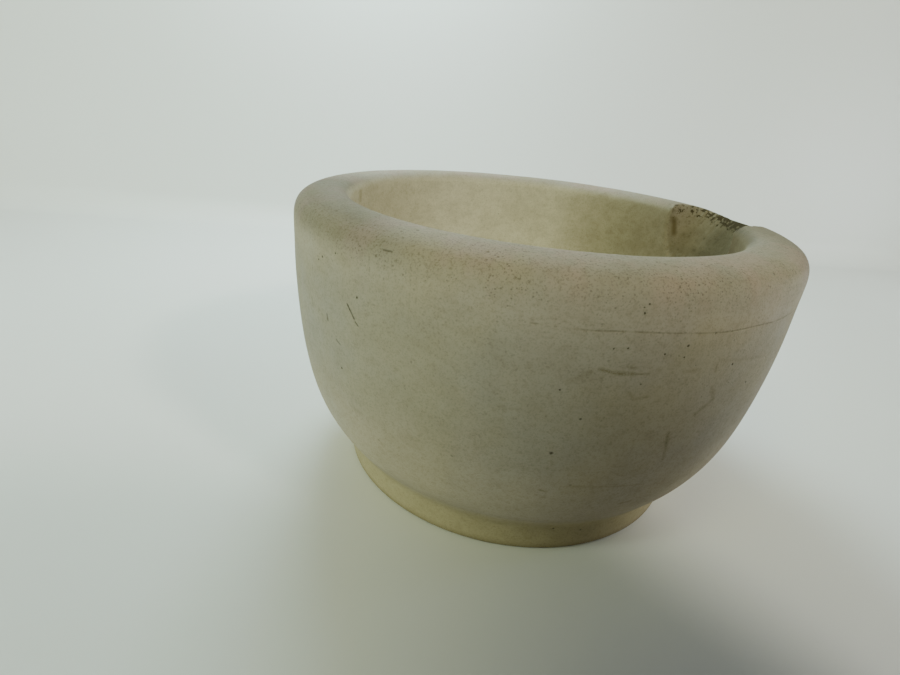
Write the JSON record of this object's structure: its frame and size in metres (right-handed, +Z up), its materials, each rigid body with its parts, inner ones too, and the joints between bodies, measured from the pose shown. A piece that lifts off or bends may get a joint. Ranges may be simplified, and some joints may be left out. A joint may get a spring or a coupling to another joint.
{
  "type": "mortar",
  "caption": "Heavy round mortar bowl of unglazed ceramic with a thick rolled rim, a pouring groove cut through the rim and a short foot ring.",
  "frame": {"origin": "centre of the underside of the foot, on the plane the mortar stands on", "axes": "+Z up along the axis of the bowl, +X out through the pouring groove"},
  "size_m": [0.127, 0.127, 0.0744],
  "materials": {
    "stoneware": "matte, unglazed"
  },
  "bodies": {
    "root": {"mortar_bowl": "stoneware"}
  },
  "joints": []
}
